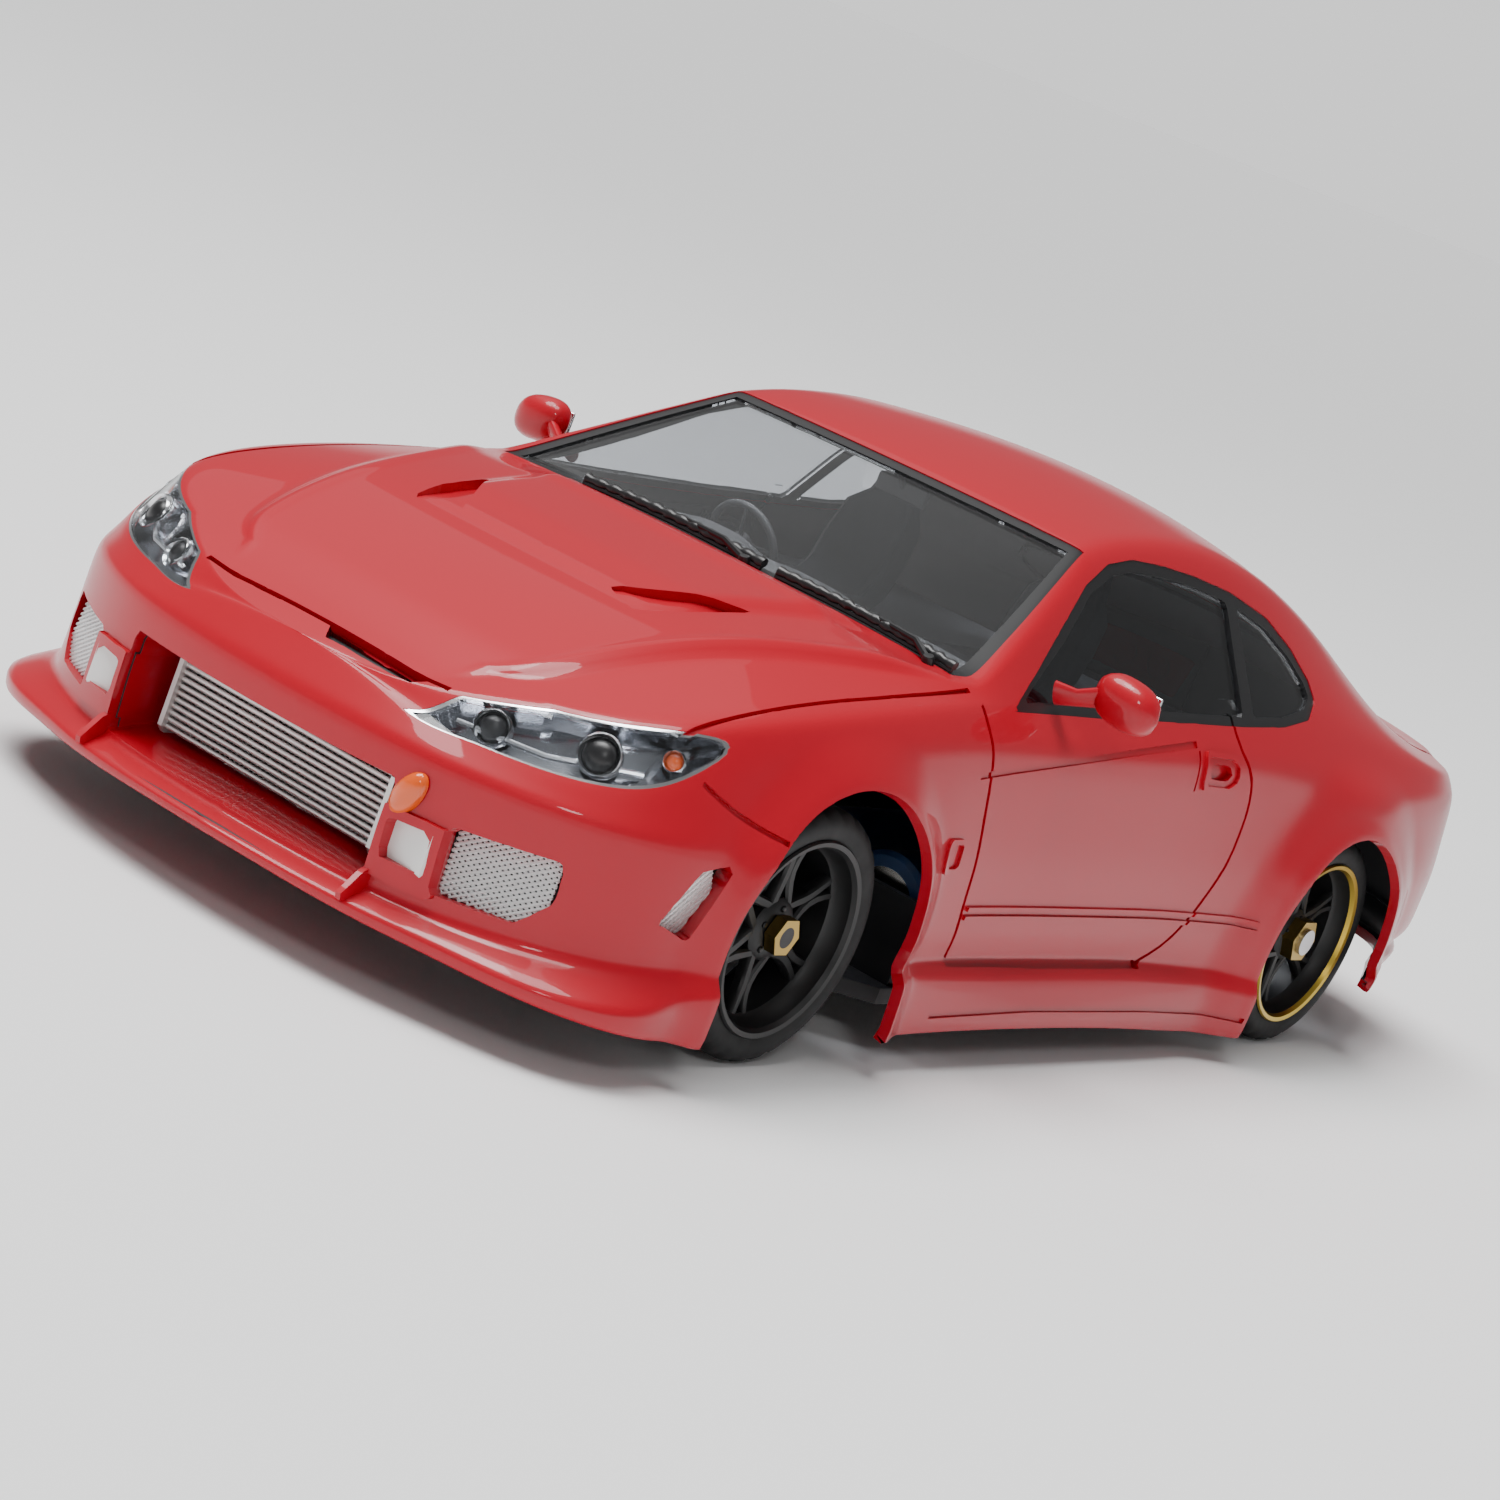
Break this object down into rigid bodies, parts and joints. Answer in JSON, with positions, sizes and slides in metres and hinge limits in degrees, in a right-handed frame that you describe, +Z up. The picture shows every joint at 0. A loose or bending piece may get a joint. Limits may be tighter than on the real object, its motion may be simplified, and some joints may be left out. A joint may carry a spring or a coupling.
{
  "type": "radio-controlled drift car",
  "caption": "Small radio-controlled drift car: a glossy red wide-fendered coupe body that lifts off a rear-drive chassis with sprung front kingpins, steering servo and pivoting rear pod",
  "frame": {"origin": "On the ground, in the middle of the bounding box of the whole car", "axes": "+X towards the nose, +Y to the car's left, +Z up"},
  "size_m": [0.185, 0.082, 0.0524],
  "materials": {
    "body_paint": "glossy red with a clear coat",
    "black_trim": "smooth black",
    "clear_plastic": "clear moulded",
    "smoke_plastic": "lightly smoked, moulded",
    "red_lens": "translucent red",
    "lamp_silver": "plated",
    "silver_core": "satin, finned",
    "mesh_metal": "woven mesh",
    "lamp_white": "frosted",
    "cabin_black": "fine grain",
    "seat_cloth": "flocked",
    "chassis_black": "glass-filled nylon",
    "arm_alloy": "anodised grey",
    "steel": "bright",
    "spring_steel": "bright wire",
    "screw_steel": "blackened",
    "magnet_nickel": "nickel plated",
    "servo_black": "satin",
    "nylon_white": "natural nylon",
    "cell_wrap": "shrink wrap",
    "board_green": "solder mask",
    "motor_can": "plated can",
    "bearing_steel": "polished",
    "rim_black": "gloss black",
    "tyre": "hard plastic slick",
    "brass": "turned",
    "nut_alloy": "anodised black"
  },
  "bodies": {
    "chassis": {"chassis_plate": "chassis_black", "front_lower_arm": "chassis_black", "front_upper_arm": "arm_alloy", "chassis_screws": "screw_steel", "steering_servo": "servo_black", "body_posts": "chassis_black", "post_magnets": "magnet_nickel", "battery_trays": "chassis_black", "battery_cells": "cell_wrap", "receiver_board": "board_green", "switch_housing": "servo_black", "pod_pin": "steel"},
    "body": {"body_shell": "body_paint", "front_bumper": "body_paint", "rear_bumper": "body_paint", "front_lip": "body_paint", "side_skirts": "body_paint", "mirrors": "body_paint", "windshield": "smoke_plastic", "rear_window": "smoke_plastic", "side_windows": "smoke_plastic", "headlight_lenses": "clear_plastic", "headlight_buckets": "lamp_silver", "taillights": "red_lens", "intercooler": "silver_core", "bumper_meshes": "mesh_metal", "bumper_lamps": "lamp_white", "wipers": "black_trim", "cabin_tray": "cabin_black", "seats": "seat_cloth", "dashboard": "cabin_black", "body_magnets": "magnet_nickel"},
    "switch_slider": {"switch_knob": "nylon_white"},
    "drag_link": {"drag_bar": "chassis_black"},
    "servo_arm": {"servo_horn": "nylon_white"},
    "kingpin_carrier_left": {"kingpin_left": "steel", "front_spring_left": "spring_steel"},
    "kingpin_carrier_right": {"kingpin_right": "steel", "front_spring_right": "spring_steel"},
    "steering_knuckle_left": {"knuckle_left": "chassis_black", "front_nut_left": "nut_alloy"},
    "steering_knuckle_right": {"knuckle_right": "chassis_black", "front_nut_right": "nut_alloy"},
    "front_wheel_left": {"front_rim_left": "rim_black", "front_tyre_left": "tyre"},
    "front_wheel_right": {"front_rim_right": "rim_black", "front_tyre_right": "tyre"},
    "pod": {"rear_pod": "chassis_black", "motor": "motor_can", "motor_screws": "screw_steel", "axle_bearings": "bearing_steel", "pod_spring": "spring_steel"},
    "rear_axle_assembly": {"rear_axle": "steel", "spur_gear": "nylon_white", "rear_rim_left": "rim_black", "rear_rim_right": "rim_black", "rear_tyre_left": "tyre", "rear_tyre_right": "tyre", "rear_nuts": "nut_alloy"},
    "pinion_shaft": {"motor_pinion": "brass"}
  },
  "joints": [
    {"name": "body_lift", "type": "slide", "parent": "chassis", "child": "body", "axis": [0, 0, 1], "range_m": [0, 0.07]},
    {"name": "switch_slide", "type": "slide", "parent": "chassis", "child": "switch_slider", "axis": [1, 0, 0], "range_m": [-0.001, 0.001]},
    {"name": "front_suspension_left", "type": "slide", "parent": "chassis", "child": "kingpin_carrier_left", "axis": [0, 0, 1], "range_m": [-0.0008, 0.0008], "stiffness_N_per_m": 600, "springref_m": -0.0007, "deforming": ["front_spring_left"]},
    {"name": "steer_left", "type": "hinge", "parent": "kingpin_carrier_left", "child": "steering_knuckle_left", "pos_m": [0.0538, 0.024, 0.0122], "axis": [0, 0, 1], "range_deg": [-28, 28]},
    {"name": "front_wheel_spin_left", "type": "hinge", "parent": "steering_knuckle_left", "child": "front_wheel_left", "pos_m": [0.0538, 0.0306, 0.0122], "axis": [0, 1, 0], "continuous": true},
    {"name": "front_suspension_right", "type": "slide", "parent": "chassis", "child": "kingpin_carrier_right", "axis": [0, 0, 1], "range_m": [-0.0008, 0.0008], "stiffness_N_per_m": 600, "springref_m": -0.0007, "deforming": ["front_spring_right"]},
    {"name": "steer_right", "type": "hinge", "parent": "kingpin_carrier_right", "child": "steering_knuckle_right", "pos_m": [0.0538, -0.024, 0.0122], "axis": [0, 0, 1], "range_deg": [-28, 28]},
    {"name": "front_wheel_spin_right", "type": "hinge", "parent": "steering_knuckle_right", "child": "front_wheel_right", "pos_m": [0.0538, -0.0306, 0.0122], "axis": [0, 1, 0], "continuous": true},
    {"name": "drag_bar_slide", "type": "slide", "parent": "chassis", "child": "drag_link", "axis": [0, 1, 0], "range_m": [-0.0033, 0.0033]},
    {"name": "servo_turn", "type": "hinge", "parent": "chassis", "child": "servo_arm", "pos_m": [0.0431, 0, 0.0148], "axis": [1, 0, 0], "range_deg": [-33.5, 33.5]},
    {"name": "pod_pitch", "type": "hinge", "parent": "chassis", "child": "pod", "pos_m": [-0.0255, 0, 0.0074], "axis": [0, 1, 0], "range_deg": [-2.5, 2.5], "stiffness_Nm_per_rad": 0.8, "springref_deg": -1.72, "deforming": ["pod_spring"]},
    {"name": "rear_axle_spin", "type": "hinge", "parent": "pod", "child": "rear_axle_assembly", "pos_m": [-0.0504, 0, 0.0122], "axis": [0, 1, 0], "continuous": true},
    {"name": "motor_spin", "type": "hinge", "parent": "pod", "child": "pinion_shaft", "pos_m": [-0.0384, 0, 0.0122], "axis": [0, 1, 0], "continuous": true}
  ],
  "couplings": [
    {"joint": "steer_right", "follows": "steer_left", "ratio": 1},
    {"joint": "drag_bar_slide", "follows": "steer_left", "m_per_rad": -0.006725},
    {"joint": "servo_turn", "follows": "steer_left", "ratio": -1.1861},
    {"joint": "motor_spin", "follows": "rear_axle_spin", "ratio": -3}
  ]
}
